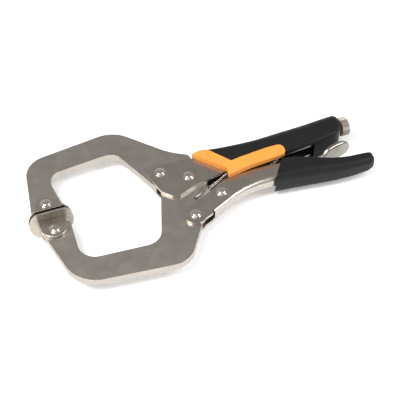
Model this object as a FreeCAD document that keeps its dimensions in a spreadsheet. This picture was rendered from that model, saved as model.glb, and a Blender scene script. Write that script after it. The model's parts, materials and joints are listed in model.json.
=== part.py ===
import FreeCAD, Part
import math
import os
import Sketcher

# Locking C-clamp pliers with two swivel pads, lying on one side. Millimetres.
# The origin is the middle of the fixed pad's gripping face. +X runs from the pads to the handles' ends, +Y from the
# moving jaw to the fixed jaw, and +Z up through the flat jaws, whose middle plane is Z = 0.

V = FreeCAD.Vector
doc = FreeCAD.newDocument("locking_c_clamp_pliers")

# ---------------------------------------------------------------- driving dimensions

DIMENSIONS = [
    ("JawThickness", 5.8, "both jaw plates"),
    ("CheekInside", 3.0, "middle plane to the inside of a cheek"),
    ("CheekThickness", 2.4, "folded sheet of both handles"),
    ("PivotX", 114.5, "main pivot, moving jaw on the body"),
    ("PivotY", 2.0, ""),
    ("JawRivetX", 94.1, "rivet that holds the fixed jaw"),
    ("JawRivetY", 13.3, ""),
    ("HandlePivotX", 106.4, "moving handle on the moving jaw"),
    ("HandlePivotY", -37.3, ""),
    ("LinkPivotX", 133.2, "toggle link on the moving handle"),
    ("LinkPivotY", -22.4, ""),
    ("LinkEndX", 205.0, "toggle link's end, where it bears on the screw"),
    ("ScrewY", 15.1, "screw axis, parallel to X"),
    ("RivetShank", 2.5, "radius"),
    ("RivetHead", 4.6, "radius"),
    ("RivetDome", 2.1, "height of a domed head"),
    ("RunningFit", 0.05, "radial clearance of every pivot"),
    ("HubRadius", 13.0, "moving jaw round the main pivot"),
    ("HubClearance", 1.2, "fixed jaw to that hub"),
    ("HookX", 112.6, "spring hole in the moving jaw"),
    ("HookY", -19.8, ""),
    ("HookRadius", 1.5, ""),
    ("AnchorX", 172.0, "spring's anchor pin in the body"),
    ("AnchorY", 11.6, ""),
    ("AnchorRadius", 1.3, ""),
    ("PadRadius", 17.7, "swivel pad disc"),
    ("PadThickness", 1.5, ""),
    ("PadFlat", 13.3, "middle plane to a pad's flat edge"),
    ("PadGap", 2.05, "between the pads with the jaws shut"),
    ("PadPivot", 12.6, "gripping face to the pad's rivet"),
    ("EarInside", 3.1, "middle plane to the inside of a bracket's ear"),
    ("EarThickness", 2.2, ""),
    ("EarWidth", 21.0, ""),
    ("EarEnd", 19.8, "gripping face to the rounded end of an ear"),
    ("LinkThickness", 4.0, ""),
    ("ScrewRadius", 3.8, ""),
    ("ScrewTip", 214.2, "X of the screw's tip"),
    ("ScrewFit", 0.08, "radial clearance in the tapped neck"),
    ("NeckRadius", 7.2, "tapped neck at the end of the body"),
    ("NeckFit", 0.15, "rubber round the neck"),
    ("NeckStart", 238.0, ""),
    ("NeckEnd", 249.7, ""),
    ("KnobStart", 251.5, ""),
    ("KnobWidth", 7.8, ""),
    ("KnobRadius", 7.75, ""),
    ("KnobChamfer", 0.9, ""),
    ("LeverPivotX", 197.7, "release lever in the moving handle"),
    ("LeverPivotY", -15.6, ""),
    ("LeverPin", 1.5, "radius"),
    ("LeverArm", 5.0, "thickness of the lever's narrow arm"),
    ("LeverSpoon", 8.4, "half width of the lever's tail"),
    ("SpringRadius", 2.3, "outside of the coil"),
    ("WireRadius", 0.45, ""),
]

sheet = doc.addObject("Spreadsheet::Sheet", "sizes")
for row, (alias, value, note) in enumerate(DIMENSIONS, start=1):
    sheet.set(f"A{row}", alias)
    sheet.set(f"B{row}", str(value))
    sheet.setAlias(f"B{row}", alias)
    sheet.set(f"C{row}", note)
doc.recompute()


def size(alias):
    return float(sheet.get(alias))


PIVOT = (size("PivotX"), size("PivotY"))
HANDLE_PIVOT = (size("HandlePivotX"), size("HandlePivotY"))
LINK_PIVOT = (size("LinkPivotX"), size("LinkPivotY"))
LINK_END = (size("LinkEndX"), size("ScrewY"))
HOOK = (size("HookX"), size("HookY"))
ANCHOR = (size("AnchorX"), size("AnchorY"))
LEVER_PIVOT = (size("LeverPivotX"), size("LeverPivotY"))
CHEEK_OUTSIDE = size("CheekInside") + size("CheekThickness")

nodes = []


# ---------------------------------------------------------------- sketches and features

def body(label):
    """A new body; its label names its node and its file."""
    made = doc.addObject("PartDesign::Body", label)
    made.Label = label
    made.Placement = FreeCAD.Placement()
    nodes.append(made)
    return made


def sketch(owner, role, offset=0.0, shift=(0.0, 0.0), offset_from=None):
    """An empty sketch on one of the body's origin planes, moved along its normal, and shifted in its own plane."""
    plane = next(f for f in owner.Origin.OriginFeatures if f.Role == role)
    made = owner.newObject("Sketcher::SketchObject", f"{owner.Name}_outline")
    made.AttachmentSupport = [(plane, "")]
    made.MapMode = "FlatFace"
    made.AttachmentOffset = FreeCAD.Placement(V(shift[0], shift[1], offset), FreeCAD.Rotation())
    if offset_from:
        made.setExpression("AttachmentOffset.Base.z", offset_from)
    return made


def arc(centre, radius, start, end):
    """An explicit arc in an outline, from the start angle to the end angle, in degrees."""
    return ("arc", centre, radius, math.radians(start), math.radians(end))


def entry(item):
    if item[0] == "arc":
        centre, radius, start = item[1], item[2], item[3]
        return V(centre[0] + radius * math.cos(start), centre[1] + radius * math.sin(start), 0)
    return V(item[0], item[1], 0)


def leave(item):
    if item[0] == "arc":
        centre, radius, end = item[1], item[2], item[4]
        return V(centre[0] + radius * math.cos(end), centre[1] + radius * math.sin(end), 0)
    return V(item[0], item[1], 0)


def arc_curve(centre, radius, start, end):
    """An arc's curve, and whether the outline follows it forwards. A sketch's arcs always run anticlockwise."""
    circle = Part.Circle(V(centre[0], centre[1], 0), V(0, 0, 1), radius)
    if end > start:
        return Part.ArcOfCircle(circle, start, end), True
    return Part.ArcOfCircle(circle, end, start), False


def corner(before, here, after):
    """A rounded corner: its first point, its last point, its curve and its direction."""
    point, radius = V(here[0], here[1], 0), here[2]
    back, ahead = (before - point).normalize(), (after - point).normalize()
    half = back.getAngle(ahead) / 2
    reach = radius / math.tan(half)
    middle = point + (back + ahead).normalize() * (radius / math.sin(half))
    first, last = point + back * reach, point + ahead * reach
    start = math.atan2(first.y - middle.y, first.x - middle.x)
    turn = math.pi - 2 * half
    left = (point - before).cross(after - point).z > 0
    curve, forwards = arc_curve(middle, radius, start, start + turn if left else start - turn)
    return first, last, curve, forwards


def draw(target, outline):
    """Adds a closed outline to a sketch. Its items are corners (x, y), rounded corners (x, y, radius) and arcs."""
    stretches = []
    count = len(outline)
    for i, item in enumerate(outline):
        before, after = leave(outline[i - 1]), entry(outline[(i + 1) % count])
        if item[0] == "arc":
            curve, forwards = arc_curve(*item[1:])
            stretches.append((entry(item), leave(item), curve, forwards))
        elif len(item) == 3:
            stretches.append(corner(before, item, after))
        else:
            stretches.append((entry(item), entry(item), None, True))
    curves, ways = [], []
    for i, (_, last, curve, forwards) in enumerate(stretches):
        following = stretches[(i + 1) % count][0]
        if curve:
            curves.append(curve)
            ways.append(forwards)
        if (following - last).Length > 1e-6:
            curves.append(Part.LineSegment(last, following))
            ways.append(True)
    start = target.GeometryCount
    target.addGeometry(curves)
    for i in range(len(curves)):
        following = (i + 1) % len(curves)
        end_point = 2 if ways[i] else 1
        start_point = 1 if ways[following] else 2
        joint = Sketcher.Constraint("Coincident", start + i, end_point, start + following, start_point)
        target.addConstraint(joint)


def draw_circle(target, x, y, radius):
    """A circle whose place and radius follow expressions."""
    values = [float(e) if isinstance(e, (int, float)) else evaluate(e) for e in (x, y, radius)]
    index = target.addGeometry(Part.Circle(V(values[0], values[1], 0), V(0, 0, 1), values[2]))
    wanted = [
        (Sketcher.Constraint("DistanceX", -1, 1, index, 3, values[0]), x),
        (Sketcher.Constraint("DistanceY", -1, 1, index, 3, values[1]), y),
        (Sketcher.Constraint("Radius", index, values[2]), radius),
    ]
    for constraint, expression in wanted:
        number = target.addConstraint(constraint)
        if isinstance(expression, str):
            target.setExpression(f"Constraints[{number}]", expression)


def evaluate(expression):
    return float(sheet.evalExpression(expression.replace("sizes.", "")))


def feature(owner, kind, profile, length=None, through=False, symmetric=False, reversed_=False):
    """A pad or pocket of a profile."""
    made = owner.newObject(f"PartDesign::{kind}", f"{owner.Name}_{kind.lower()}")
    made.Profile = profile
    made.SideType = "Symmetric" if symmetric else "One side"
    made.Reversed = reversed_
    if through:
        made.Type = "ThroughAll"
    elif isinstance(length, str):
        made.setExpression("Length", length)
    else:
        made.Length = length
    return made


def revolve(owner, profile, axis):
    made = owner.newObject("PartDesign::Revolution", f"{owner.Name}_turned")
    made.Profile = profile
    made.ReferenceAxis = (profile, [axis])
    made.Angle = 360
    return made


def plate(label, outline, thickness):
    """A flat plate about the middle plane."""
    made = body(label)
    profile = sketch(made, "XY_Plane")
    draw(profile, outline)
    feature(made, "Pad", profile, thickness, symmetric=True)
    return made


def drill(owner, holes):
    """Round holes right through along Z. Each is the expressions of its place and radius."""
    profile = sketch(owner, "XY_Plane")
    for x, y, radius in holes:
        draw_circle(profile, x, y, radius)
    feature(owner, "Pocket", profile, through=True, symmetric=True)


def loft(owner, kind, sections):
    """A ruled loft through closed outlines in planes across X. A section is (x, outline in Y and Z)."""
    profiles = []
    for x, outline in sections:
        profile = sketch(owner, "YZ_Plane", offset=x)
        draw(profile, outline)
        profiles.append(profile)
    made = owner.newObject(f"PartDesign::{kind}", f"{owner.Name}_loft")
    made.Profile = profiles[0]
    made.Sections = profiles[1:]
    made.Ruled = True
    return made


def arch(low, high, half_width, low_radius, high_radius):
    """A closed section in Y and Z, with two rounded corners at its low side and two at its high side."""
    return [
        (low, -half_width, low_radius),
        (high, -half_width, high_radius),
        (high, half_width, high_radius),
        (low, half_width, low_radius),
    ]


# ---------------------------------------------------------------- rivets and pins

def rivet(label, x, y, x_from, y_from):
    """A domed rivet through both cheeks, turned about a line parallel to Z."""
    made = body(label)
    profile = sketch(made, "XZ_Plane", offset=-y, shift=(x, 0))
    profile.setExpression("AttachmentOffset.Base.x", x_from)
    profile.setExpression("AttachmentOffset.Base.z", f"-1 * {y_from}")
    shank, head, dome = size("RivetShank"), size("RivetHead"), size("RivetDome")
    face = CHEEK_OUTSIDE + 0.02
    sphere = (head * head + dome * dome) / (2 * dome)
    sweep = math.degrees(math.asin(head / sphere))
    outline = [
        arc((0, face + dome - sphere), sphere, 90, 90 - sweep),
        (shank, face),
        (shank, -face),
        arc((0, sphere - face - dome), sphere, sweep - 90, -90),
    ]
    draw(profile, outline)
    revolve(made, profile, "V_Axis")
    return made


def pin(label, x_from, y_from, radius_from, half_length):
    made = body(label)
    profile = sketch(made, "XY_Plane")
    draw_circle(profile, x_from, y_from, radius_from)
    feature(made, "Pad", profile, 2 * half_length, symmetric=True)
    return made


rivet("main_pivot_rivet", *PIVOT, "sizes.PivotX", "sizes.PivotY")
rivet("fixed_jaw_rivet", size("JawRivetX"), size("JawRivetY"), "sizes.JawRivetX", "sizes.JawRivetY")
rivet("jaw_handle_rivet", *HANDLE_PIVOT, "sizes.HandlePivotX", "sizes.HandlePivotY")
rivet("link_rivet", *LINK_PIVOT, "sizes.LinkPivotX", "sizes.LinkPivotY")
rivet("fixed_pad_rivet", 0, size("PadPivot"), "0 mm", "sizes.PadPivot")
rivet("moving_pad_rivet", 0, -size("PadGap") - size("PadPivot"), "0 mm", "(-sizes.PadGap - sizes.PadPivot)")
pin("release_lever_pin", "sizes.LeverPivotX", "sizes.LeverPivotY", "sizes.LeverPin", CHEEK_OUTSIDE)
pin("spring_anchor_pin", "sizes.AnchorX", "sizes.AnchorY", "sizes.AnchorRadius", CHEEK_OUTSIDE)

BORE = "sizes.RivetShank + sizes.RunningFit"

# ---------------------------------------------------------------- jaws

TIP = 5.6
FIXED_JAW = [
    (-13.5, TIP, 2.5),
    (-4.9, 62.2, 20.8),
    (72.7, 72.6, 26),
    (108.8, 34.3, 60),
    (123.3, 26.2, 5),
    arc(PIVOT, size("HubRadius") + size("HubClearance"), 51.7, 130),
    (87.0, 1.3, 0.8),
    (66.6, 49.2, 13),
    (8.3, 43.1, 11.5),
    (12.9, TIP, 2.5),
]
fixed_jaw = plate("fixed_jaw", FIXED_JAW, "sizes.JawThickness")
drill(
    fixed_jaw,
    [("sizes.JawRivetX", "sizes.JawRivetY", BORE), ("0 mm", "sizes.PadPivot", BORE)],
)

MOVING_TIP = -size("PadGap") - TIP
MOVING_JAW = [
    (13.7, MOVING_TIP, 2.5),
    (11.6, -48.6, 13.7),
    (73.3, -52.5, 14),
    (89.0, -4.2, 1),
    arc(PIVOT, size("HubRadius"), 135, 0),
    (127.5, -6.6, 6),
    (116.3, -20.7, 6),
    (114.9, -36.1, 7),
    (87.9, -78.0, 20),
    (2.5, -69.8, 26),
    (-11.0, MOVING_TIP, 2.5),
]
moving_jaw = plate("moving_jaw", MOVING_JAW, "sizes.JawThickness")
drill(
    moving_jaw,
    [
        ("sizes.PivotX", "sizes.PivotY", BORE),
        ("sizes.HandlePivotX", "sizes.HandlePivotY", BORE),
        ("sizes.HookX", "sizes.HookY", "sizes.HookRadius"),
        ("0 mm", "-sizes.PadGap - sizes.PadPivot", BORE),
    ],
)


# ---------------------------------------------------------------- swivel pads

def pad_disc(label, face, away):
    """A round pad with a flat top and bottom. Its gripping face is at y = face and its back is towards away."""
    made = body(label)
    profile = sketch(made, "XZ_Plane", offset=-face)
    radius, flat = size("PadRadius"), size("PadFlat")
    angle = math.degrees(math.asin(flat / radius))
    draw(profile, [arc((0, 0), radius, -angle, angle), arc((0, 0), radius, 180 - angle, 180 + angle)])
    feature(made, "Pad", profile, "sizes.PadThickness", reversed_=away > 0)
    return made


def pad_bracket(label, face, away):
    """A folded U bracket: a base on the back of the disc and two ears that straddle the jaw."""
    made = body(label)
    half, round_end = size("EarWidth") / 2, size("EarEnd") - size("EarWidth") / 2
    back = face + away * size("PadThickness")
    profile = sketch(made, "XY_Plane")
    side = [
        (-half, back),
        (half, back),
        arc((0, face + away * round_end), half, 0, 180 * away),
    ]
    draw(profile, side)
    feature(made, "Pad", profile, "2 * (sizes.EarInside + sizes.EarThickness)", symmetric=True)
    inside = back + away * size("EarThickness")
    slot = sketch(made, "XY_Plane")
    far = face + away * (size("EarEnd") + 5)
    draw(slot, [(-half - 5, inside), (half + 5, inside), (half + 5, far), (-half - 5, far)])
    feature(made, "Pocket", slot, "2 * sizes.EarInside", symmetric=True)
    return made


for name, face, away in (("fixed_pad", 0.0, 1), ("moving_pad", -size("PadGap"), -1)):
    pad_disc(f"{name}_disc", face, away)
    bracket = pad_bracket(f"{name}_bracket", face, away)
    pivot = "sizes.PadPivot" if away > 0 else "-sizes.PadGap - sizes.PadPivot"
    drill(bracket, [("0 mm", pivot, BORE)])


# ---------------------------------------------------------------- fixed handle

CHEEK = [
    (81.9, 21.1, 0.8),
    (88.9, -6.0, 10),
    (98.3, -15.9, 7),
    (116.0, -8.9, 30),
    (150.0, -1.6),
    (150.0, 16.4),
    (124.4, 17.2),
    (122.0, 20.3, 1),
]

# x, low edge, high edge, half width and radius of the two long bends
BODY_SECTIONS = [
    (124.0, -6.9, 20.2, 5.4, 2.6),
    (150.0, -1.6, 19.3, 5.4, 2.8),
    (178.0, -2.6, 19.0, 6.2, 3.6),
    (200.0, -2.9, 21.4, 7.2, 6.0),
    (219.0, -0.9, 22.4, 7.2, 7.0),
    (227.0, 6.0, 22.5, 7.2, 7.0),
    (244.0, 9.0, 22.6, 7.2, 7.0),
]


def body_shell():
    """The fixed handle: two flat cheeks in front, a folded channel behind, and a tapped neck at the end."""
    made = body("fixed_handle_shell")
    wall = size("CheekThickness")
    outside = [(x, arch(low, high, half, 0.4, bend)) for x, low, high, half, bend in BODY_SECTIONS]
    loft(made, "AdditiveLoft", outside)
    inside = [
        (x, arch(low - 9, high - wall, half - wall, 0.4, max(bend - wall, 0.2)))
        for x, low, high, half, bend in BODY_SECTIONS
    ]
    inside[0] = (BODY_SECTIONS[0][0] - 1, inside[0][1])
    inside[-1] = (BODY_SECTIONS[-1][0] + 1, inside[-1][1])
    loft(made, "SubtractiveLoft", inside)
    for side in (1, -1):
        start = size("CheekInside") if side > 0 else -CHEEK_OUTSIDE
        profile = sketch(made, "XY_Plane", offset=start)
        draw(profile, CHEEK)
        feature(made, "Pad", profile, "sizes.CheekThickness")
    neck = sketch(made, "YZ_Plane", offset=size("NeckStart"), offset_from="sizes.NeckStart")
    draw_circle(neck, "sizes.ScrewY", "0 mm", "sizes.NeckRadius")
    feature(made, "Pad", neck, "sizes.NeckEnd - sizes.NeckStart")
    tapped = sketch(made, "YZ_Plane", offset=size("NeckStart") - 2)
    draw_circle(tapped, "sizes.ScrewY", "0 mm", "sizes.ScrewRadius + sizes.ScrewFit")
    feature(made, "Pocket", tapped, 40, reversed_=True)
    drill(
        made,
        [
            ("sizes.PivotX", "sizes.PivotY", BORE),
            ("sizes.JawRivetX", "sizes.JawRivetY", BORE),
            ("sizes.AnchorX", "sizes.AnchorY", "sizes.AnchorRadius + sizes.RunningFit"),
        ],
    )
    return made


body_shell()

# x, low edge, high edge, half width, radii of the low and high bends
GRIP_SECTIONS = [
    (124.8, -11.0, 23.4, 9.3, 2.5, 6.0),
    (131.0, -11.2, 24.7, 9.5, 2.5, 6.0),
    (140.0, -11.2, 23.6, 9.6, 2.5, 6.5),
    (150.0, -10.6, 22.5, 9.8, 2.5, 7.0),
    (175.0, -7.4, 21.4, 10.3, 2.8, 8.5),
    (197.0, -5.6, 22.7, 10.8, 3.0, 10.0),
    (220.0, -2.4, 23.9, 11.0, 3.0, 10.5),
    (238.5, 0.6, 25.5, 11.0, 3.4, 10.6),
    (248.5, 2.2, 26.0, 10.6, 4.0, 10.2),
    (251.2, 4.4, 24.4, 9.0, 3.6, 8.6),
]
RUBBER_GAP = 0.1
ACCENT = [
    (124.0, 30.0),
    (134.5, 30.0),
    (137.0, 20.5, 6),
    (150.8, 2.2, 1.2),
    (158.5, 3.3, 10),
    (181.0, 5.2, 40),
    (195.6, 5.0, 4.6),
    (195.6, -5.6, 4.4),
    (165.0, -7.4, 20),
    (150.5, -9.8, 4),
    (143.4, -11.0, 1.6),
    (144.8, -4.2, 1.2),
    (128.0, 14.4, 10),
    (124.0, 20.2),
]


def fixed_grip_body(label):
    """The moulded cover of the fixed handle, before it is divided between its two colours."""
    made = body(label)
    outside = [(x, arch(low, high, half, r_low, r_high)) for x, low, high, half, r_low, r_high in GRIP_SECTIONS]
    loft(made, "AdditiveLoft", outside)
    inside = []
    for x, low, high, half, bend in BODY_SECTIONS:
        bottom = -16.0 if x < 220 else low - RUBBER_GAP
        room = half + RUBBER_GAP
        inside.append((x, arch(bottom, high + RUBBER_GAP, room, 0.4, bend + RUBBER_GAP)))
    inside[0] = (inside[0][0] - 1, inside[0][1])
    loft(made, "SubtractiveLoft", inside)
    neck = sketch(made, "YZ_Plane", offset=size("NeckStart"))
    draw_circle(neck, "sizes.ScrewY", "0 mm", "sizes.NeckRadius + sizes.NeckFit")
    feature(made, "Pocket", neck, 40, reversed_=True)
    return made


grip = fixed_grip_body("fixed_grip")
cut = sketch(grip, "XY_Plane")
draw(cut, [(110, 30), *ACCENT[1:8], (165, -30), (110, -30)])
feature(grip, "Pocket", cut, through=True, symmetric=True)
lips = sketch(grip, "XY_Plane")
draw(lips, [(120, -20), (252, -20), (252, 1.8), (197.5, -4.2), (120, -4.2)])
feature(grip, "Pocket", lips, through=True, symmetric=True)

accent = fixed_grip_body("fixed_grip_accent")
keep = sketch(accent, "XY_Plane")
draw(keep, ACCENT)
draw(keep, [(100, -40), (270, -40), (270, 50), (100, 50)])
feature(accent, "Pocket", keep, through=True, symmetric=True)

# ---------------------------------------------------------------- screw and knob

screw = body("adjusting_screw")
rod = sketch(screw, "XY_Plane", shift=(0, size("ScrewY")))
rod.setExpression("AttachmentOffset.Base.y", "sizes.ScrewY")
tip, end, radius = size("ScrewTip"), size("KnobStart") - 0.02, size("ScrewRadius")
draw(rod, [(tip, 0), (end, 0), (end, radius), (tip + 1.6, radius), (tip, radius - 1.6)])
revolve(screw, rod, "H_Axis")

knob = body("adjusting_knob")
rim = sketch(knob, "XY_Plane", shift=(0, size("ScrewY")))
rim.setExpression("AttachmentOffset.Base.y", "sizes.ScrewY")
start, radius, bevel = size("KnobStart"), size("KnobRadius"), size("KnobChamfer")
end = start + size("KnobWidth")
KNOB = [
    (start, 0),
    (end - 1.0, 0),
    (end, 3.0),
    (end, radius - bevel),
    (end - bevel, radius),
    (start + bevel, radius),
    (start, radius - bevel),
]
draw(rim, KNOB)
revolve(knob, rim, "H_Axis")

# ---------------------------------------------------------------- moving handle

HANDLE_CHEEK = [
    arc(HANDLE_PIVOT, 9.0, 299, 114.3),
    (146.0, -9.6, 14),
    (150.0, -9.6),
    (150.0, -22.0),
    (136.0, -28.6),
    (121.6, -36.6),
    (119.6, -40.6, 1.5),
    (112.5, -43.6, 1.5),
]

# x, low edge, high edge, half width and radius of the two long bends
HANDLE_SECTIONS = [
    (121.4, -39.9, -20.6, 5.4, 2.6),
    (132.0, -34.8, -15.8, 5.4, 2.7),
    (142.0, -30.2, -11.6, 5.4, 3.2),
    (152.0, -26.9, -9.5, 5.4, 3.8),
    (165.0, -24.8, -8.6, 5.4, 4.4),
    (180.0, -24.9, -8.8, 5.5, 4.6),
    (198.0, -27.4, -11.8, 6.2, 4.6),
    (218.0, -29.9, -20.4, 6.2, 4.2),
    (240.0, -32.0, -25.4, 5.4, 3.4),
    (256.0, -31.6, -26.2, 4.8, 2.8),
]


def handle_shell():
    """The moving handle: a channel that is open towards the fixed handle, with two round cheeks in front."""
    made = body("moving_handle_shell")
    wall = size("CheekThickness")
    outside = [(x, arch(low, high, half, bend, 0.4)) for x, low, high, half, bend in HANDLE_SECTIONS]
    loft(made, "AdditiveLoft", outside)
    inside = [
        (x, arch(low + wall, high + 9, half - wall, max(bend - wall, 0.2), 0.4))
        for x, low, high, half, bend in HANDLE_SECTIONS
    ]
    inside[0] = (HANDLE_SECTIONS[0][0] - 1, inside[0][1])
    inside[-1] = (HANDLE_SECTIONS[-1][0] - wall, inside[-1][1])
    loft(made, "SubtractiveLoft", inside)
    for side in (1, -1):
        start = size("CheekInside") if side > 0 else -CHEEK_OUTSIDE
        profile = sketch(made, "XY_Plane", offset=start)
        draw(profile, HANDLE_CHEEK)
        feature(made, "Pad", profile, "sizes.CheekThickness")
    drill(
        made,
        [
            ("sizes.HandlePivotX", "sizes.HandlePivotY", BORE),
            ("sizes.LinkPivotX", "sizes.LinkPivotY", BORE),
            ("sizes.LeverPivotX", "sizes.LeverPivotY", "sizes.LeverPin + sizes.RunningFit"),
        ],
    )
    return made


handle_shell()

# x, low edge, high edge, half width, radii of the low and high bends
MOVING_GRIP_SECTIONS = [
    (177.0, -27.4, -6.8, 10.4, 6.0, 2.4),
    (198.0, -29.6, -9.9, 10.4, 6.4, 3.4),
    (215.0, -31.9, -16.0, 9.8, 6.2, 3.4),
    (230.0, -33.6, -21.2, 9.0, 5.4, 3.2),
    (245.0, -34.3, -23.6, 8.2, 5.0, 3.0),
    (258.0, -33.6, -23.8, 7.4, 4.4, 2.8),
    (263.0, -30.8, -24.6, 5.6, 2.8, 2.2),
]

moving_grip = body("moving_grip")
loft(
    moving_grip,
    "AdditiveLoft",
    [(x, arch(low, high, half, r_low, r_high)) for x, low, high, half, r_low, r_high in MOVING_GRIP_SECTIONS],
)
hollow = []
for x, low, high, half, bend in HANDLE_SECTIONS[4:]:
    room = half + RUBBER_GAP
    hollow.append((x, arch(low - RUBBER_GAP, 0.0, room, bend + RUBBER_GAP, 0.4)))
hollow[-1] = (hollow[-1][0] + RUBBER_GAP, hollow[-1][1])
loft(moving_grip, "SubtractiveLoft", hollow)
front = sketch(moving_grip, "XY_Plane")
draw(front, [(160, 0), (191.2, 0), (190.4, -8.4), (181.0, -22.4), (178.2, -26.2), (177.5, -45), (160, -45)])
feature(moving_grip, "Pocket", front, through=True, symmetric=True)

# ---------------------------------------------------------------- toggle link, release lever, spring

LINK_HUB, LINK_TIP = 6.4, 3.6
link_angle = math.degrees(math.atan2(LINK_END[1] - LINK_PIVOT[1], LINK_END[0] - LINK_PIVOT[0]))
LINK = [
    arc(LINK_PIVOT, LINK_HUB, link_angle + 90, link_angle + 270),
    (186.6, -3.6, 20),
    arc(LINK_END, LINK_TIP, link_angle - 84, link_angle + 90),
]
toggle_link = plate("toggle_link", LINK, "sizes.LinkThickness")
drill(toggle_link, [("sizes.LinkPivotX", "sizes.LinkPivotY", BORE)])

LEVER_SIDE = [
    (175.6, -13.8, 1),
    (177.6, -11.4, 1),
    (198.0, -12.2, 8),
    (208.0, -14.4, 14),
    (219.0, -15.6, 8),
    (232.0, -9.0, 20),
    (243.0, -6.2, 24),
    (251.4, -5.4),
    (251.4, -7.8),
    (242.6, -9.4, 24),
    (232.0, -12.1, 20),
    (219.0, -18.6, 12),
    (208.0, -20.4, 8),
    (194.0, -19.9, 4),
    (187.0, -15.6, 8),
]
lever = body("release_lever")
lever_side = sketch(lever, "XY_Plane")
draw(lever_side, LEVER_SIDE)
feature(lever, "Pad", lever_side, "2 * sizes.LeverSpoon", symmetric=True)
arm, spoon = size("LeverArm") / 2, size("LeverSpoon")
lever_plan = sketch(lever, "XZ_Plane", offset=60)
LEVER_PLAN = [
    (170, -arm),
    (222, -arm, 8),
    (233, -spoon, 7),
    (251.0, -spoon, 7.6),
    (251.0, spoon, 7.6),
    (233, spoon, 7),
    (222, arm, 8),
    (170, arm),
]
draw(lever_plan, LEVER_PLAN)
draw(lever_plan, [(160, -30), (270, -30), (270, 30), (160, 30)])
feature(lever, "Pocket", lever_plan, 120)
drill(lever, [("sizes.LeverPivotX", "sizes.LeverPivotY", "sizes.LeverPin + sizes.RunningFit")])


def wire_run(points, radius):
    """A bent wire: a straight round rod between each two points, and a ball at every bend."""
    pieces = []
    for first, last in zip(points, points[1:]):
        pieces.append(Part.makeCylinder(radius, (last - first).Length, first, last - first))
    for bend in points[1:-1]:
        pieces.append(Part.makeSphere(radius, bend))
    return pieces


def spring_shape():
    """The return spring as an envelope: a tube over its close coils, with a wire hook at each end."""
    start, end = V(*HOOK, 0), V(*ANCHOR, 0)
    along = (end - start).normalize()
    across, up = V(-along.y, along.x, 0), V(0, 0, 1)
    wire = size("WireRadius")
    middle = size("SpringRadius") - wire
    first, last = start + along * COIL_FROM_HOOK, end - along * COIL_FROM_ANCHOR
    coil = Part.makeCylinder(size("SpringRadius"), (last - first).Length, first, along)
    coil = coil.cut(Part.makeCylinder(middle - wire, (last - first).Length, first, along))
    beside_jaw = size("JawThickness") / 2 + wire + 0.2
    in_hole = start - along * 0.5
    front = [
        first + along + up * middle,
        start + along * 8 + up * beside_jaw,
        in_hole + up * beside_jaw,
        in_hole - up * beside_jaw,
    ]
    past_pin = size("AnchorRadius") + wire + 0.15
    back = [
        last - along + across * middle,
        end + along * past_pin + across * past_pin,
        end + along * past_pin - across * past_pin,
    ]
    return coil.fuse(wire_run(front, wire) + wire_run(back, wire)).removeSplitter()


COIL_FROM_HOOK, COIL_FROM_ANCHOR = 15.0, 5.0
spring = doc.addObject("Part::Feature", "tension_spring")
spring.Label = "tension_spring"
spring.Shape = spring_shape()
spring.Placement = FreeCAD.Placement()
nodes.append(spring)

# ---------------------------------------------------------------- checks and files

doc.recompute()
failed = [o.Label for o in doc.Objects if "Invalid" in o.State or "Error" in o.State]
if failed:
    raise RuntimeError(f"failed objects: {failed}")
for node in nodes:
    if node.Shape.isNull() or not node.Shape.isValid() or not node.Shape.Solids:
        raise RuntimeError(f"bad shape: {node.Label}")

os.makedirs("parts", exist_ok=True)
for node in nodes:
    box = node.Shape.BoundBox
    print(
        f"{node.Label:22s} solids {len(node.Shape.Solids)} volume {node.Shape.Volume:9.1f}"
        f" x {box.XMin:7.2f} {box.XMax:7.2f} y {box.YMin:7.2f} {box.YMax:7.2f} z {box.ZMin:7.2f} {box.ZMax:7.2f}"
    )
    node.Shape.exportStep(f"parts/{node.Label}.step")
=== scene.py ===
import json
import math

import bmesh
import bpy
import numpy as np
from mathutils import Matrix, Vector


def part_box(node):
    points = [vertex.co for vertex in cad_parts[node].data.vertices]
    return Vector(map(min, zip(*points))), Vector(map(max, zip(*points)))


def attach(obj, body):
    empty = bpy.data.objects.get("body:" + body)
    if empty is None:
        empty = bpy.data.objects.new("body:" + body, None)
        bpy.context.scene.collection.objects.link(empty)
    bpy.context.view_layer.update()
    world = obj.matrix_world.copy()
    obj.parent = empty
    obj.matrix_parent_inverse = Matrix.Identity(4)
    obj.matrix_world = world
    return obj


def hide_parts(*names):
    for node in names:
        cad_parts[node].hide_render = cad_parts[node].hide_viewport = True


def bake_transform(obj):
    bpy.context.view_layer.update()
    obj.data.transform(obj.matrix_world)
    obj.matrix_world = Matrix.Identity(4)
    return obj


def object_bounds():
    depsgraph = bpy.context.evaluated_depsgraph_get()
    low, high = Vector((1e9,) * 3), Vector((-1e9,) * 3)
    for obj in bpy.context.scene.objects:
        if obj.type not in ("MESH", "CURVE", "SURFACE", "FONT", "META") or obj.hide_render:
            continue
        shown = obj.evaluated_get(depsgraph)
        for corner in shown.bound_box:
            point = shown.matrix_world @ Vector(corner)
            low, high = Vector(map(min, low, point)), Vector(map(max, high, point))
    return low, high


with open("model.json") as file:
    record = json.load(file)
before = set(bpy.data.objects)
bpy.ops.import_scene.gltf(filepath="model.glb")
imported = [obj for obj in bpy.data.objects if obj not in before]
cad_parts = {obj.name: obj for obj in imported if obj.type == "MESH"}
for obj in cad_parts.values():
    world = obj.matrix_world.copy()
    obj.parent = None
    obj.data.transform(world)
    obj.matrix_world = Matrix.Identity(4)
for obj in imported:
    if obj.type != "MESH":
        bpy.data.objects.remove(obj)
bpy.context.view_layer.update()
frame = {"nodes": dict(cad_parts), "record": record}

# Locking C-clamp pliers on their side. Lengths in the tables below are millimetres in the row's frame.
MM = 0.001

# ---------------------------------------------------------------- camera, light and floor

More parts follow.
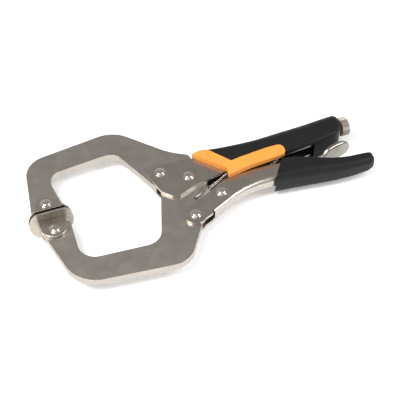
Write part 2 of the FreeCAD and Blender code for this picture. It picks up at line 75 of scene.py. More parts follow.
CAMERA_AZIMUTH, CAMERA_ELEVATION = -20.0, 49.0
CAMERA_TARGET = Vector((115.92, -20.48, 0.0)) * MM
CAMERA_DISTANCE = 0.9
CAMERA_LENS, SENSOR = 102.75, 36.0


def spherical(azimuth, elevation):
    """A unit vector towards a viewer at that azimuth, 0 at -Y and 90 at +X, and elevation, in degrees."""
    a, e = math.radians(azimuth), math.radians(elevation)
    return Vector((math.sin(a) * math.cos(e), -math.cos(a) * math.cos(e), math.sin(e)))


def add_object(name, data):
    made = bpy.data.objects.new(name, data)
    bpy.context.scene.collection.objects.link(made)
    return made


def aim(made, place, target):
    made.location = place
    made.rotation_euler = (target - place).to_track_quat("-Z", "Y").to_euler()


def add_camera():
    data = bpy.data.cameras.new("camera")
    data.lens, data.sensor_width, data.sensor_fit = CAMERA_LENS, SENSOR, "HORIZONTAL"
    data.clip_start, data.clip_end = 0.01, 50.0
    made = add_object("camera", data)
    aim(made, CAMERA_TARGET + spherical(CAMERA_AZIMUTH, CAMERA_ELEVATION) * CAMERA_DISTANCE, CAMERA_TARGET)
    bpy.context.scene.camera = made


def softbox(name, azimuth, elevation, distance, width, height, watts, colour):
    data = bpy.data.lights.new(name, "AREA")
    data.shape, data.size, data.size_y = "RECTANGLE", width, height
    data.energy, data.color = watts, colour
    made = add_object(name, data)
    aim(made, CAMERA_TARGET + spherical(azimuth, elevation) * distance, CAMERA_TARGET)


SOFTBOXES = [
    ("key", -85, 58, 1.6, 0.7, 0.7, 24.0, (1.0, 0.985, 0.965)),
    ("front", -20, 24, 1.6, 1.2, 0.5, 5.5, (1.0, 0.99, 0.98)),
    ("fill", 70, 45, 1.6, 0.7, 0.7, 12.0, (0.97, 0.985, 1.0)),
]


def add_light():
    for settings in SOFTBOXES:
        softbox(*settings)
    world = bpy.data.worlds.new("studio")
    bpy.context.scene.world = world
    world.use_nodes = True
    tree = world.node_tree
    background = tree.nodes["Background"]
    background.inputs["Strength"].default_value = 1.0
    place = tree.nodes.new("ShaderNodeTexCoord")
    split = tree.nodes.new("ShaderNodeSeparateXYZ")
    ramp = tree.nodes.new("ShaderNodeValToRGB")
    tree.links.new(place.outputs["Generated"], split.inputs[0])
    tree.links.new(split.outputs["Z"], ramp.inputs["Fac"])
    tree.links.new(ramp.outputs["Color"], background.inputs["Color"])
    stops = [(0.0, 0.8), (0.3, 0.52), (0.55, 0.4), (0.85, 0.37), (1.0, 0.5)]
    ramp.color_ramp.elements[0].position = stops[0][0]
    ramp.color_ramp.elements[1].position = stops[-1][0]
    for position, _ in stops[1:-1]:
        ramp.color_ramp.elements.new(position)
    for element, (_, level) in zip(ramp.color_ramp.elements, stops):
        element.color = (level, level * 0.99, level * 0.975, 1)


FLOOR_HALF_WIDTH = 6.0
FLOOR_GLOW = 0.22


def add_floor():
    """Pale paper under the object. A little glow keeps its shadow faint."""
    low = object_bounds()[0][2]
    half = FLOOR_HALF_WIDTH
    data = bpy.data.meshes.new("floor")
    corners = [(-half, -half, low), (half, -half, low), (half, half, low), (-half, half, low)]
    data.from_pydata([Vector(c) for c in corners], [], [(0, 1, 2, 3)])
    made = add_object("floor", data)
    mat = bpy.data.materials.new("floor_paper")
    mat.use_nodes = True
    shader = mat.node_tree.nodes["Principled BSDF"]
    shader.inputs["Base Color"].default_value = (0.93, 0.93, 0.93, 1)
    shader.inputs["Roughness"].default_value = 0.9
    shader.inputs["Specular IOR Level"].default_value = 0.1
    shader.inputs["Emission Color"].default_value = (1.0, 1.0, 1.0, 1)
    shader.inputs["Emission Strength"].default_value = FLOOR_GLOW
    data.materials.append(mat)


# ---------------------------------------------------------------- materials

class Shader:
    """A Principled material with short ways to add its procedural detail."""

    def __init__(self, name, **values):
        self.material = bpy.data.materials.new(name)
        self.material.use_nodes = True
        self.tree = self.material.node_tree
        self.shader = self.tree.nodes["Principled BSDF"]
        for key, value in values.items():
            socket = key.replace("_", " ").title().replace("Ior", "IOR")
            self.shader.inputs[socket].default_value = value
        self.place = self.node("ShaderNodeTexCoord").outputs["Object"]

    def node(self, kind, **settings):
        made = self.tree.nodes.new(kind)
        for key, value in settings.items():
            setattr(made, key, value)
        return made

    def link(self, source, target):
        self.tree.links.new(source, target)

    def stretch(self, scale, turn):
        mapping = self.node("ShaderNodeMapping")
        mapping.inputs["Scale"].default_value = scale
        mapping.inputs["Rotation"].default_value = turn
        self.link(self.place, mapping.inputs["Vector"])
        return mapping.outputs["Vector"]

    def noise(self, scale, detail, roughness, place=None, distortion=0.0):
        made = self.node("ShaderNodeTexNoise")
        made.inputs["Scale"].default_value = scale
        made.inputs["Detail"].default_value = detail
        made.inputs["Roughness"].default_value = roughness
        made.inputs["Distortion"].default_value = distortion
        self.link(place or self.place, made.inputs["Vector"])
        return made.outputs["Fac"]

    def remap(self, value, low, high, to_low, to_high):
        made = self.node("ShaderNodeMapRange")
        for key, number in (("From Min", low), ("From Max", high), ("To Min", to_low), ("To Max", to_high)):
            made.inputs[key].default_value = number
        self.link(value, made.inputs["Value"])
        return made.outputs["Result"]

    def combine(self, operation, first, second):
        made = self.node("ShaderNodeMath", operation=operation)
        for socket, value in zip(made.inputs, (first, second)):
            if isinstance(value, (int, float)):
                socket.default_value = value
            else:
                self.link(value, socket)
        return made.outputs[0]

    def blend(self, factor, first, second):
        """Mixes two colours, each a tuple or a socket."""
        made = self.node("ShaderNodeMix", data_type="RGBA")
        self.link(factor, made.inputs["Factor"])
        for socket, value in ((made.inputs[6], first), (made.inputs[7], second)):
            if isinstance(value, tuple):
                socket.default_value = (*value, 1)
            else:
                self.link(value, socket)
        return made.outputs[2]

    def bump(self, height, strength, distance, below=None):
        made = self.node("ShaderNodeBump")
        made.inputs["Strength"].default_value = strength
        made.inputs["Distance"].default_value = distance
        self.link(height, made.inputs["Height"])
        if below is not None:
            self.link(below, made.inputs["Normal"])
        return made.outputs["Normal"]

    def set(self, socket, value):
        self.link(value, self.shader.inputs[socket])


def edge_band(s):
    """1 on rounded edges between a flat face and a cut side, 0 elsewhere, for a plate that lies flat."""
    normal = s.node("ShaderNodeNewGeometry").outputs["Normal"]
    split = s.node("ShaderNodeSeparateXYZ")
    s.link(normal, split.inputs[0])
    upright = s.combine("ABSOLUTE", split.outputs["Z"], 0.0)
    rising = s.remap(upright, 0.12, 0.4, 0.0, 1.0)
    falling = s.remap(upright, 0.86, 0.985, 1.0, 0.0)
    return s.combine("MULTIPLY", rising, falling)


def satin_steel(name, dark, light, rough, grain=1400.0, grain_depth=0.10, band=True):
    """Nickel plating over tumbled steel: fine grain, clouding, handling marks, and rounded edges lightened,
    partly as rubbed wear and partly as a painted highlight.
    """
    s = Shader(name, metallic=1.0)
    cloud = s.remap(s.noise(38.0, 5.0, 0.6, distortion=0.4), 0.3, 0.7, 0.0, 1.0)
    speck = s.remap(s.noise(900.0, 2.0, 0.5), 0.35, 0.75, 0.0, 1.0)
    tone = s.blend(cloud, dark, light)
    tone = s.blend(s.combine("MULTIPLY", speck, 0.22), tone, tuple(c * 0.78 for c in dark))
    if band:
        # Rounded edges are painted lighter: partly rubbed wear, partly a painted highlight along the bevels.
        rubbed_edge_and_highlight = tuple(min(1.0, c * 1.32) for c in light)
        tone = s.blend(s.combine("MULTIPLY", edge_band(s), 0.65), tone, rubbed_edge_and_highlight)
    s.set("Base Color", tone)
    s.set("Roughness", s.remap(s.noise(120.0, 4.0, 0.6), 0.3, 0.72, *rough))
    fine = s.bump(s.noise(grain, 3.0, 0.65), grain_depth, 0.00025)
    scratch = s.noise(260.0, 6.0, 0.7, place=s.stretch((0.25, 6.0, 1.0), (0, 0, 0.5)))
    s.set("Normal", s.bump(s.remap(scratch, 0.62, 0.75, 0.0, 1.0), 0.05, 0.0002, fine))
    return s.material


def rubber(name, base, worn, rough, grain=2600.0, depth=0.22):
    """Moulded soft grip: fine sand-blasted grain, and paler rubbed patches."""
    s = Shader(name, metallic=0.0, specular_ior_level=0.2)
    cloud = s.remap(s.noise(55.0, 5.0, 0.62), 0.42, 0.74, 0.0, 1.0)
    speck = s.remap(s.noise(1500.0, 2.0, 0.5), 0.5, 0.8, 0.0, 0.5)
    tone = s.blend(cloud, base, worn)
    s.set("Base Color", s.blend(speck, tone, tuple(c * 0.7 for c in base)))
    s.set("Roughness", s.remap(s.noise(95.0, 4.0, 0.6), 0.3, 0.7, *rough))
    fine = s.bump(s.noise(grain, 2.0, 0.5), depth, 0.00018)
    s.set("Normal", s.bump(s.noise(240.0, 3.0, 0.5), 0.08, 0.0004, fine))
    return s.material


def make_materials():
    steel_dark, steel_light = (0.43, 0.395, 0.36), (0.5, 0.46, 0.42)
    return {
        "jaw_steel": satin_steel("jaw_nickel", steel_dark, steel_light, (0.33, 0.43)),
        "plated_steel": satin_steel("handle_nickel", steel_dark, steel_light, (0.25, 0.34)),
        "pad_steel": satin_steel(
            "pad_nickel", (0.46, 0.42, 0.375), (0.56, 0.52, 0.46), (0.22, 0.32), band=False
        ),
        "rivet_steel": satin_steel(
            "rivet_nickel", (0.58, 0.55, 0.51), (0.66, 0.63, 0.59), (0.12, 0.2), 1800.0, 0.05, band=False
        ),
        "link_steel": satin_steel("link_nickel", (0.38, 0.36, 0.34), (0.46, 0.44, 0.41), (0.3, 0.42)),
        # The lever's nickel is a darker copy of the other nickel: painted shade on the lever and its trough.
        "lever_steel": satin_steel(
            "lever_nickel_painted_shade", (0.34, 0.32, 0.29), (0.42, 0.395, 0.36), (0.2, 0.3), band=False
        ),
        "screw_steel": satin_steel(
            "knob_nickel", (0.34, 0.3, 0.26), (0.43, 0.385, 0.34), (0.26, 0.36), band=False
        ),
        "spring_wire": satin_steel(
            "spring_wire_nickel", (0.42, 0.4, 0.38), (0.56, 0.54, 0.51), (0.16, 0.26), band=False
        ),
        "black_rubber": rubber(
            "black_soft_grip", (0.0085, 0.009, 0.0095), (0.0125, 0.013, 0.0135), (0.42, 0.56)
        ),
        "orange_rubber": rubber(
            "orange_soft_grip", (0.8, 0.3, 0.055), (0.83, 0.34, 0.07), (0.36, 0.48), 2400.0, 0.12
        ),
    }


# ---------------------------------------------------------------- pieces

NODE_SLOT = {row["node"]: row["material_slot"] for row in frame["record"]["subparts"]}
NODE_BODY = {node: body for body, group in frame["record"]["behaviour"]["bodies"].items() for node in group}


def finish_mesh(made, bevel, segments, limit=32.0, smooth=40.0):
    """Shades smoothly up to an angle, and rounds the sharper edges."""
    for polygon in made.data.polygons:
        polygon.use_smooth = True
    if bevel:
        mod = made.modifiers.new("round_edges", "BEVEL")
        mod.width, mod.segments, mod.limit_method = bevel * MM, segments, "ANGLE"
        mod.angle_limit = math.radians(limit)
        mod.use_clamp_overlap = True
        mod.harden_normals = False
    made.data.set_sharp_from_angle(angle=math.radians(smooth))
    if bevel:
        weighted = made.modifiers.new("flat_normals", "WEIGHTED_NORMAL")
        weighted.keep_sharp = False
        weighted.weight = 60


def place_piece(made, node, body=None):
    """Rides a piece on its body, names its slot and puts it in a CAD node's stead."""
    made.data.materials.append(MATERIALS[NODE_SLOT[node]])
    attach(made, body or NODE_BODY[node])
    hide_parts(node)
    return made


def mesh_object(name, points, faces):
    data = bpy.data.meshes.new(name)
    data.from_pydata([tuple(p) for p in points], [], faces)
    data.validate()
    return add_object(name, data)


def refined(node, bevel, segments):
    """A CAD node with its flat faces joined up and its edges rounded."""
    source = frame["nodes"][node]
    work = bmesh.new()
    work.from_mesh(source.data)
    work.transform(source.matrix_world)
    bmesh.ops.remove_doubles(work, verts=work.verts, dist=1e-5)
    bmesh.ops.dissolve_degenerate(work, dist=1e-5, edges=work.edges)
    bmesh.ops.dissolve_limit(work, angle_limit=math.radians(1.5), verts=work.verts, edges=work.edges)
    data = bpy.data.meshes.new(f"{node}_piece")
    work.to_mesh(data)
    work.free()
    made = add_object(f"{node}_piece", data)
    finish_mesh(made, bevel, segments)
    return place_piece(made, node)


# ---------------------------------------------------------------- mesh making

TOUCHING = 2e-6


def tidy_mesh(made):
    """Joins touching points and turns every face outwards."""
    work = bmesh.new()
    work.from_mesh(made.data)
    bmesh.ops.remove_doubles(work, verts=work.verts, dist=TOUCHING)
    bmesh.ops.recalc_face_normals(work, faces=work.faces)
    if work.calc_volume(signed=True) < 0:
        bmesh.ops.reverse_faces(work, faces=work.faces)
    work.to_mesh(made.data)
    work.free()


def curve_through(xs, ys, x):
    """A smooth monotone curve through a table's points."""
    xs, ys, x = np.asarray(xs, float), np.asarray(ys, float), np.asarray(x, float)
    step, slope = np.diff(xs), np.diff(ys) / np.diff(xs)
    tangent = np.zeros_like(ys)
    for i in range(1, len(xs) - 1):
        if slope[i - 1] * slope[i] > 0:
            a, b = 2 * step[i] + step[i - 1], step[i] + 2 * step[i - 1]
            tangent[i] = (a + b) / (a / slope[i - 1] + b / slope[i])
    tangent[0], tangent[-1] = slope[0], slope[-1]
    i = np.clip(np.searchsorted(xs, x) - 1, 0, len(xs) - 2)
    t = np.clip((x - xs[i]) / step[i], 0, 1)
    h00, h10 = (1 + 2 * t) * (1 - t) ** 2, t * (1 - t) ** 2
    h01, h11 = t * t * (3 - 2 * t), t * t * (t - 1)
    return h00 * ys[i] + h10 * step[i] * tangent[i] + h01 * ys[i + 1] + h11 * step[i] * tangent[i + 1]


def rounded_path(corners, arc_steps, edge_steps, closed=False):
    """Points along a run of corners (a, b, radius), each turned as an arc."""
    count = len(corners)
    runs = []
    for i, (a, b, radius) in enumerate(corners):
        here = np.array((a, b), float)
        if not closed and i in (0, count - 1):
            runs.append([here])
            continue
        back = np.array(corners[i - 1][:2], float) - here
        ahead = np.array(corners[(i + 1) % count][:2], float) - here
        room = 0.49 * min(np.linalg.norm(back), np.linalg.norm(ahead))
        back, ahead = back / np.linalg.norm(back), ahead / np.linalg.norm(ahead)
        if np.linalg.norm(back + ahead) < 1e-6:
            runs.append([here + ahead * radius * (2 * k / arc_steps - 1) for k in range(arc_steps + 1)])
            continue
        half = math.acos(np.clip(back @ ahead, -1, 1)) / 2
        reach = min(radius / math.tan(half), room)
        radius = reach * math.tan(half)
        middle = here + (back + ahead) / np.linalg.norm(back + ahead) * radius / math.sin(half)
        first, last = here + back * reach - middle, here + ahead * reach - middle
        start = math.atan2(first[1], first[0])
        sweep = (math.atan2(last[1], last[0]) - start + math.pi) % (2 * math.pi) - math.pi
        turns = [start + sweep * k / arc_steps for k in range(arc_steps + 1)]
        runs.append([middle + radius * np.array((math.cos(t), math.sin(t))) for t in turns])
    points = []
    for i, run in enumerate(runs):
        points.extend(run)
        if closed or i < count - 1:
            following = runs[(i + 1) % count][0]
            points.extend(run[-1] + (following - run[-1]) * k / edge_steps for k in range(1, edge_steps))
    return np.array(points)


def carve(made, cutter, operation):
    """Applies a boolean and deletes the cutter."""
    mod = made.modifiers.new("carve", "BOOLEAN")
    mod.object, mod.operation, mod.solver = cutter, operation, "EXACT"
    bpy.context.view_layer.update()
    result = bpy.data.meshes.new_from_object(made.evaluated_get(bpy.context.evaluated_depsgraph_get()))
    made.modifiers.clear()
    made.data = result
    bpy.data.objects.remove(cutter, do_unlink=True)


def prism(name, outline, low, high):
    """A side-view outline, (x, y), through the whole thickness between two heights."""
    count = len(outline)
    points = [(x * MM, y * MM, z * MM) for z in (low, high) for x, y in outline]
    faces = [tuple(range(count)), tuple(range(count, 2 * count))]
    faces += [(i, (i + 1) % count, count + (i + 1) % count, count + i) for i in range(count)]
    made = mesh_object(name, points, faces)
    tidy_mesh(made)
    return made


class Grid:
    """Rows of points joined into a surface."""

    def __init__(self):
        self.points, self.faces = [], []

    def row(self, points):
        start = len(self.points)
        self.points.extend(tuple(p) for p in points)
        return list(range(start, start + len(points)))

    def join(self, first, second, closed=False):
        count = len(first)
        for i in range(count if closed else count - 1):
            k = (i + 1) % count
            self.faces.append((first[i], first[k], second[k], second[i]))

    def object(self, name):
        made = mesh_object(name, self.points, self.faces)
        tidy_mesh(made)
        return made


def lathe(name, profile, centre, axis, steps, bumps=None):
    """Turns (along, radius) about an axis through a point. bumps(along, angle) adds to the radius."""
    grid = Grid()
    rim = max(radius for _, radius in profile)
    previous = None
    for along, radius in profile:
        row = []
        for k in range(steps):
            angle = 2 * math.pi * k / steps
            r = radius + (bumps(along, angle) if bumps and radius > rim * 0.98 else 0.0)
            u, v = r * math.cos(angle), r * math.sin(angle)
            offset = (u, v, along) if axis == "Z" else (along, u, v)
            row.append(tuple((c + o) * MM for c, o in zip(centre, offset)))
        row = grid.row(row)
        if previous:
            grid.join(previous, row, closed=True)
        previous = row
    return grid.object(name)


# ---------------------------------------------------------------- grips

# x, low edge, high edge, half width, radii of the low and high bends
FIXED_GRIP = [
    (124.8, -11.0, 23.4, 9.3, 2.5, 6.0),
    (131.0, -11.2, 24.7, 9.5, 2.5, 6.0),
    (140.0, -11.2, 23.6, 9.6, 2.5, 6.5),
    (150.0, -10.6, 22.5, 9.8, 2.5, 7.0),
    (175.0, -7.4, 21.4, 10.3, 2.8, 8.5),
    (197.0, -5.6, 22.7, 10.8, 3.0, 10.0),
    (220.0, -2.4, 23.9, 11.0, 3.0, 10.5),
    (238.5, 0.6, 25.5, 11.0, 3.4, 10.6),
    (247.5, 2.0, 26.0, 10.8, 4.0, 10.2),
    (250.1, 3.2, 25.4, 10.0, 3.8, 9.4),
    (251.2, 4.6, 24.2, 8.8, 3.6, 8.2),
]
# The steel inside it: x, low edge, high edge, half width, bend
FIXED_CORE = [
    (124.0, -6.9, 20.2, 5.4, 2.6),
    (150.0, -1.6, 19.3, 5.4, 2.8),
    (178.0, -2.6, 19.0, 6.2, 3.6),
    (200.0, -2.9, 21.4, 7.2, 6.0),
    (219.0, -0.9, 22.4, 7.2, 7.0),
    (227.0, 6.0, 22.5, 7.2, 7.0),
    (251.3, 8.0, 22.6, 7.3, 7.0),
]
FIXED_SLOT_END = 222.0
MOVING_GRIP = [
    (177.0, -27.4, -6.8, 10.4, 6.0, 2.4),
    (198.0, -29.6, -9.9, 10.4, 6.4, 3.4),
    (215.0, -31.9, -16.0, 9.8, 6.2, 3.4),
    (230.0, -33.6, -21.2, 9.0, 5.4, 3.2),
    (245.0, -34.3, -23.6, 8.2, 5.0, 3.0),
    (256.0, -33.8, -23.7, 7.4, 4.6, 2.8),
    (260.0, -32.6, -23.9, 6.7, 4.2, 2.7),
    (262.3, -31.2, -24.6, 5.4, 3.2, 2.4),
    (263.0, -29.8, -25.6, 3.2, 1.8, 1.7),
]
MOVING_CORE = [
    (177.0, -24.9, -8.8, 5.5, 4.4),
    (198.0, -27.4, -11.8, 6.2, 4.6),
    (218.0, -29.9, -20.4, 6.2, 4.2),
    (240.0, -32.0, -25.4, 5.4, 3.4),
    (256.4, -31.6, -26.2, 4.8, 2.8),
]
MOVING_SLOT_END = 256.2
CORE_GAP = 0.12

# Spacing of a cover's cross-sections along its channel and along its closed end, and the step from one to
# the other where that end is hollow
OPEN_STEP, CLOSED_STEP, JUNCTION_STEP = 1.1, 0.8, 0.25
ORANGE_PROUD = 0.3


def sleeve(name, table, core, slot_end, opens, hollow_end, warp, proud=0.0):
    """A moulded cover over a steel core.

    It is a channel, open on its low (opens = -1) or high (1) side up to slot_end, and closed after it.
    proud is how far it stands outside its table.
    """
    table, core = np.array(table, float), np.array(core, float)
    grid = Grid()
    switch = int((slot_end - table[0, 0]) / OPEN_STEP)
    end_count = int((table[-1, 0] - slot_end) / CLOSED_STEP) + 4
    stations = [*np.linspace(table[0, 0], slot_end, switch), *np.linspace(slot_end, table[-1, 0], end_count)]

    def place(x, outline):
        return [((x + warp(x, y)) * MM, y * MM, z * MM) for y, z in outline]

    last = None
    for index, x in enumerate(stations):
        closed = index >= switch
        if index == switch and hollow_end:
            x += JUNCTION_STEP
        low, high, half, r_low, r_high = (curve_through(table[:, 0], table[:, k], x) for k in range(1, 6))
        c_low, c_high, room, bend = (curve_through(core[:, 0], core[:, k], x) for k in range(1, 5))
        low, high, half = low - proud, high + proud, half + proud
        room += CORE_GAP
        near, far = (high, low) if opens < 0 else (low, high)
        r_near, r_far = (r_high, r_low) if opens < 0 else (r_low, r_high)
        roof = c_high + CORE_GAP if opens < 0 else c_low - CORE_GAP
        floor = (c_low - CORE_GAP if opens < 0 else c_high + CORE_GAP) if closed and hollow_end else far
        lip = min(r_far, half - room - 0.3)
        around = [(far, -room, 0), (far, -half, lip), (near, -half, r_near)]
        around += [(near, half, r_near), (far, half, lip), (far, room, 0)]
        outer = rounded_path(around, 9, 5)
        inside = [(floor, -room, 0), ((floor + roof) / 2, -room, 0.6), (roof, -room, bend)]
        inside += [(roof, room, bend), ((floor + roof) / 2, room, 0.6), (floor, room, 0)]
        inner = rounded_path(inside, 9, 5)
        rows = {"outer": grid.row(place(x, outer)), "inner": None, "far": None, "floor": None}
        if hollow_end or not closed or index == switch:
            rows["inner"] = grid.row(place(x, previous_inner if closed and not hollow_end else inner))
        previous_inner = inner
        if closed:
            across = np.linspace(room, -room, 7)
            rows["far"] = grid.row(place(x, [(far, z) for z in across]))
            rows["floor"] = grid.row(place(x, [(floor, z) for z in across])) if hollow_end else None
        if last is None:
            grid.join(rows["outer"], rows["inner"])
        else:
            grid.join(last["outer"], rows["outer"])
            if last["inner"] and rows["inner"]:
                grid.join(last["inner"], rows["inner"])
            if last["far"]:
                grid.join(last["far"], rows["far"])
                if hollow_end:
                    grid.join(last["floor"], rows["floor"])
            elif closed and hollow_end:
                grid.join(rows["far"], rows["floor"])
                for end in (0, -1):
                    grid.faces.append((last["outer"][end], rows["outer"][end], rows["inner"][end]))
            elif closed:
                grid.faces.append(tuple(rows["inner"]) + tuple(rows["far"][1:-1]))
        last = rows
    if hollow_end:
        grid.join(last["outer"], last["inner"])
        grid.join(last["far"], last["floor"])
    else:
        grid.faces.append(tuple(last["outer"]) + tuple(last["far"][1:-1]))
    return grid.object(name)


def fixed_warp(x, y):
    """The rear face leans in below the screw."""
    start, length, lowest_upright, slope = 234.5, 16.7, 11.0, 0.62
    share = max(0.0, (x - start) / length)
    lean = max(0.0, lowest_upright - y) * slope
    return -lean * share * share


# The moving grip's front face in side view: y and x
MOVING_FRONT = [(-28, 177.8), (-26.6, 177.2), (-24.5, 179.6), (-22, 181.0), (-8.5, 190.4), (-6, 191.4)]
MOVING_FRONT_DEPTH = 16.0


def moving_warp(x, y):
    """The front face slants, with a small foot at the bottom."""
    start = MOVING_GRIP[0][0]
    share = max(0.0, 1 - (x - start) / MOVING_FRONT_DEPTH)
    heights, places = zip(*MOVING_FRONT)
    front = float(curve_through(heights, places, y))
    return (front - start) * share ** 1.5


# The orange inlay in side view: x, y and the corner's radius
ACCENT = [
    (123.5, 30.0, 0),
    (134.5, 30.0, 0),
    (137.0, 20.5, 6),
    (150.8, 2.2, 1.2),
    (158.5, 3.3, 10),
    (181.0, 5.2, 40),
    (195.6, 5.0, 4.6),
    (195.6, -5.6, 4.4),
    (165.0, -7.4, 20),
    (150.5, -9.8, 4),
    (143.4, -11.0, 1.6),
    (144.8, -4.2, 1.2),
    (128.0, 14.4, 10),
    (123.5, 20.2, 0),
]


def make_fixed_grip():
    outline = rounded_path(ACCENT, 8, 1, closed=True)
    black = sleeve("fixed_grip_piece", FIXED_GRIP, FIXED_CORE, FIXED_SLOT_END, -1, True, fixed_warp)
    ahead = [(100, 40, 0), *ACCENT[1:8], (165, -40, 0), (100, -40, 0)]
    through = (-20, 20)
    carve(black, prism("cut", rounded_path(ahead, 8, 1, closed=True), *through), "DIFFERENCE")
    below = [(100, -20), (262, -20), (262, 2.6), (197.5, -4.2), (100, -4.2)]
    carve(black, prism("cut", below, *through), "DIFFERENCE")
    finish_mesh(black, 0.45, 3, 38.0, 40.0)
    place_piece(black, "fixed_grip")
    shape = (FIXED_GRIP, FIXED_CORE, FIXED_SLOT_END, -1, True, fixed_warp, ORANGE_PROUD)
    orange = sleeve("fixed_grip_accent_piece", *shape)
    carve(orange, prism("cut", outline, *through), "INTERSECT")
    finish_mesh(orange, 0.7, 4, 38.0, 40.0)
    place_piece(orange, "fixed_grip_accent")


def make_moving_grip():
    made = sleeve("moving_grip_piece", MOVING_GRIP, MOVING_CORE, MOVING_SLOT_END, 1, False, moving_warp)
    finish_mesh(made, 0.6, 3, 40.0, 50.0)
    place_piece(made, "moving_grip")


# ---------------------------------------------------------------- rivets, knob and screw

def centre_of(node):
    low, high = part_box(node)
    return [(a + b) / 2 / MM for a, b in zip(low, high)]


RIVET_SEAT, RIVET_SHANK = 5.42, 2.5


def make_rivets():
    """Button heads on a low collar, both sides."""
    for node in NODE_SLOT:
        if not node.endswith("_rivet"):
            continue
        low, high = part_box(node)
        top, base = high[2] / MM, RIVET_SEAT
        radius = (high[0] - low[0]) / 2 / MM
        collar, dome = radius - 1.05, top - base
        profile = [(base, radius), (base + 0.35, radius)]
        profile += [(base + 0.62, radius - 0.22), (base + 0.7, radius - 0.6), (base + 0.72, collar)]
        rise = dome - 0.72
        for k in range(1, 13):
            turn = math.pi / 2 * k / 12
            profile.append((base + 0.72 + rise * math.sin(turn), max(collar * math.cos(turn), 1e-4)))
        shank = [(0.0, RIVET_SHANK), (base, RIVET_SHANK)]
        half = shank + profile
        whole = [(-along, r) for along, r in reversed(half)] + half
        made = lathe(f"{node}_piece", whole, (*centre_of(node)[:2], 0.0), "Z", 56)
        finish_mesh(made, 0.12, 2, 50.0, 35.0)
        place_piece(made, node)


def make_knob():
    low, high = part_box("adjusting_knob")
    start, end = low[0] / MM, high[0] / MM
    radius = (high[1] - low[1]) / 2 / MM
    y = centre_of("adjusting_knob")[1]
    teeth, depth, slant, bevel = 34, 0.42, 0.62, 0.9

    def knurl(along, angle):
        if along < start + bevel or along > end - bevel:
            return 0.0
        first = abs(((teeth * angle / (2 * math.pi) + (along - start) * slant) % 1) - 0.5)
        second = abs(((teeth * angle / (2 * math.pi) - (along - start) * slant) % 1) - 0.5)
        return -depth * max(1 - 4 * first, 1 - 4 * second, 0.0)

    profile = [(start, 1e-4), (start, 4.4), (start, radius - bevel), (start + bevel * 0.98, radius - 0.05)]
    rows = 26
    profile += [(start + bevel + (end - start - 2 * bevel) * k / rows, radius) for k in range(rows + 1)]
    profile += [(end - bevel * 0.98, radius - 0.05), (end, radius - bevel)]
    profile += [(end, 4.2), (end - 0.7, 3.4), (end - 1.0, 1e-4)]
    made = lathe("adjusting_knob_piece", profile, (0.0, y, 0.0), "X", teeth * 10, knurl)
    finish_mesh(made, 0.0, 1, 60.0, 28.0)
    place_piece(made, "adjusting_knob")


def make_screw():
    low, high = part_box("adjusting_screw")
    start, end = low[0] / MM, high[0] / MM
    radius = (high[1] - low[1]) / 2 / MM
    y = centre_of("adjusting_screw")[1]
    pitch, depth, per_turn = 1.5, 0.55, 10

    def thread(along, angle):
        if along < start + 1.6 or along > end - 0.8:
            return 0.0
        phase = abs(((along / pitch - angle / (2 * math.pi)) % 1) - 0.5) * 2
        return -depth * min(max((phase - 0.12) / 0.76, 0.0), 1.0)

    profile = [(start, 1e-4), (start, radius - 1.6), (start + 1.58, radius - depth * 0.5)]
    count = int((end - start - 1.6) / pitch * per_turn)
    profile += [(start + 1.6 + (end - start - 1.6) * k / count, radius) for k in range(count + 1)]
    profile.append((end, 1e-4))
    made = lathe("adjusting_screw_piece", profile, (0.0, y, 0.0), "X", 40, thread)
    finish_mesh(made, 0.0, 1, 60.0, 50.0)
    place_piece(made, "adjusting_screw")


# ---------------------------------------------------------------- release lever and spring

# Along the lever: x and y of its outer skin (towards the moving handle), half width, and the height of its
# turned-up sides
LEVER = [
    (176.2, -14.2, 2.5, 2.2),
    (182.0, -15.6, 2.5, 3.4),
    (188.0, -17.8, 2.5, 5.0),
    (197.0, -19.6, 2.5, 6.4),
    (206.0, -20.2, 2.5, 5.4),
    (214.0, -19.8, 2.5, 3.4),
    (220.0, -17.8, 2.7, 2.4),
    (226.0, -14.6, 5.0, 2.6),
    (232.0, -12.0, 8.1, 2.9),
    (238.0, -10.3, 8.35, 3.1),
    (244.0, -9.1, 8.0, 2.9),
    (248.0, -8.4, 6.4, 2.3),
    (250.2, -8.0, 4.2, 1.7),
    (250.9, -7.8, 1.9, 1.1),
]
LEVER_SHEET = 1.3


def make_lever():
    """A pressed sheet channel whose tail spreads into a half-round thumb piece."""
    table = np.array(LEVER, float)
    grid = Grid()
    along = np.linspace(0, 1, 90)
    reach = np.concatenate([[0], np.cumsum(np.hypot(np.diff(table[:, 0]), np.diff(table[:, 1])))])
    reach /= reach[-1]
    first_row, previous = None, None
    values = [np.array([curve_through(reach, table[:, k], t) for t in along]) for k in range(4)]
    xs, ys, halves, sides = values
    for i in range(len(along)):
        ahead, back = min(i + 1, len(along) - 1), max(i - 1, 0)
        run = np.array((xs[ahead] - xs[back], ys[ahead] - ys[back]))
        run /= np.linalg.norm(run)
        up = np.array((-run[1], run[0]))
        half, side = halves[i], sides[i]
        bend = min(half * 0.98, side * 0.98)
        path = rounded_path([(side, -half, 0), (0, -half, bend), (0, half, bend), (side, half, 0)], 9, 4)
        sheet = min(LEVER_SHEET, half * 0.45, side * 0.6)
        inner_bend = max(bend - sheet, 0.15)
        inset = [(side, -half + sheet, 0), (sheet, -half + sheet, inner_bend)]
        inset += [(sheet, half - sheet, inner_bend), (side, half - sheet, 0)]
        hollow = rounded_path(inset, 9, 4)
        loop = list(path) + list(hollow[::-1])
        points = [((xs[i] + up[0] * h) * MM, (ys[i] + up[1] * h) * MM, z * MM) for h, z in loop]
        row = grid.row(points)
        if previous:
            grid.join(previous, row, closed=True)
        else:
            first_row = row
        previous = row
    grid.faces += [tuple(first_row), tuple(previous)]
    made = grid.object("release_lever_piece")
    finish_mesh(made, 0.25, 2, 50.0, 45.0)
    place_piece(made, "release_lever")


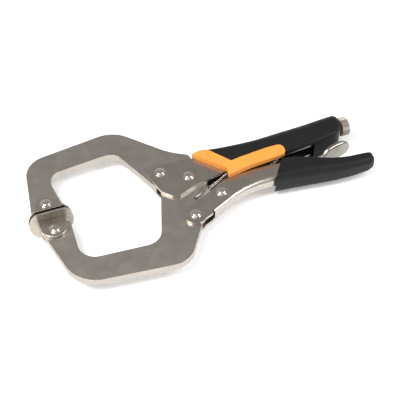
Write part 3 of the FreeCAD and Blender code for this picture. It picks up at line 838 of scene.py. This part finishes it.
def tube(name, path, radius, steps):
    """A round wire along a path of points, in millimetres."""
    path = [Vector(p) for p in path]
    grid = Grid()
    side = None
    previous = None
    for i, point in enumerate(path):
        run = (path[min(i + 1, len(path) - 1)] - path[max(i - 1, 0)]).normalized()
        if side is None:
            side = run.orthogonal().normalized()
        side = (side - run * side.dot(run)).normalized()
        other = run.cross(side)
        ring = []
        for k in range(steps):
            angle = 2 * math.pi * k / steps
            ring.append((point + (side * math.cos(angle) + other * math.sin(angle)) * radius) * MM)
        row = grid.row(ring)
        if previous:
            grid.join(previous, row, closed=True)
        else:
            grid.faces.append(tuple(row))
        previous = row
    grid.faces.append(tuple(previous))
    return grid.object(name)


def smooth_line(points, steps):
    """A rounded line through a few points, in millimetres."""
    points = [Vector(p) for p in points]
    ends = [points[0] * 2 - points[1], *points, points[-1] * 2 - points[-2]]
    line = []
    for a, b, c, d in zip(ends, ends[1:], ends[2:], ends[3:]):
        for k in range(steps):
            t = k / steps
            square, cube = 2 * a - 5 * b + 4 * c - d, 3 * b - a - 3 * c + d
            line.append(0.5 * (2 * b + (c - a) * t + square * t * t + cube * t ** 3))
    line.append(points[-1])
    return line


SPRING_HOOK = (112.6, -19.8, 0.0)


def make_spring():
    """A close coil with a wire hook at each end, through the moving jaw's hole and round the anchor pin."""
    hook = Vector(SPRING_HOOK)
    anchor = Vector((*centre_of("spring_anchor_pin")[:2], 0.0))
    run = (anchor - hook).normalized()
    up = Vector((0, 0, 1))
    side = up.cross(run)
    wire, middle = 0.5, 1.8
    jaw_half_thickness, pin_radius = 2.9, 1.3
    first, last = 15.5, (anchor - hook).length - 5.2
    turns, per_turn = 31, 18
    coil = []
    for k in range(turns * per_turn + 1):
        t = k / (turns * per_turn)
        angle = 2 * math.pi * turns * t + math.pi / 2
        along = first + (last - first) * t
        coil.append(hook + run * along + side * middle * math.cos(angle) + up * middle * math.sin(angle))
    plate = jaw_half_thickness + wire + 0.15
    lead = [
        hook - run * 0.55 - up * (plate + 0.3),
        hook - run * 0.55 + up * 0.5,
        hook - run * 0.5 + up * (plate - 0.3),
        hook + run * 0.9 + up * (plate + 0.25),
        hook + run * 6.5 + up * plate,
        hook + run * 11.5 + up * 2.4,
        hook + run * (first - 1.6) + up * 1.9 - side * 0.5,
    ]
    pin = pin_radius + wire + 0.12
    tail = [
        hook + run * (last + 0.9) + side * 1.2 + up * 1.0,
        anchor - run * 2.0 + side * pin * 0.9,
        anchor + side * pin,
        anchor + run * pin * 0.8 + side * pin * 0.7,
        anchor + run * pin * 0.95 - side * pin * 0.4,
        anchor + run * 0.2 - side * pin,
    ]
    path = smooth_line(lead, 7)[:-1] + coil + smooth_line(tail, 6)[1:]
    made = tube("tension_spring_piece", path, wire, 8)
    finish_mesh(made, 0.0, 1, 60.0, 60.0)
    made.data.materials.append(MATERIALS[NODE_SLOT["tension_spring"]])
    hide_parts("tension_spring")
    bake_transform(made)


# ---------------------------------------------------------------- the object

MATERIALS = make_materials()
add_camera()
add_light()
add_floor()

# CAD nodes that keep their shape and get rounded edges: the node, the edge's width and its steps
REFINED = [
    ("fixed_jaw", 0.55, 3),
    ("moving_jaw", 0.55, 3),
    ("fixed_handle_shell", 0.3, 2),
    ("moving_handle_shell", 0.3, 2),
    ("toggle_link", 0.35, 2),
    ("fixed_pad_disc", 0.3, 2),
    ("moving_pad_disc", 0.3, 2),
    ("fixed_pad_bracket", 0.5, 3),
    ("moving_pad_bracket", 0.5, 3),
]
for node, bevel, segments in REFINED:
    refined(node, bevel, segments)

make_fixed_grip()
make_moving_grip()
make_rivets()
make_knob()
make_screw()
make_lever()
make_spring()

for node, made in frame["nodes"].items():
    made.data.materials.clear()
    made.data.materials.append(MATERIALS[NODE_SLOT[node]])

bpy.context.scene.view_settings.view_transform = "Standard"
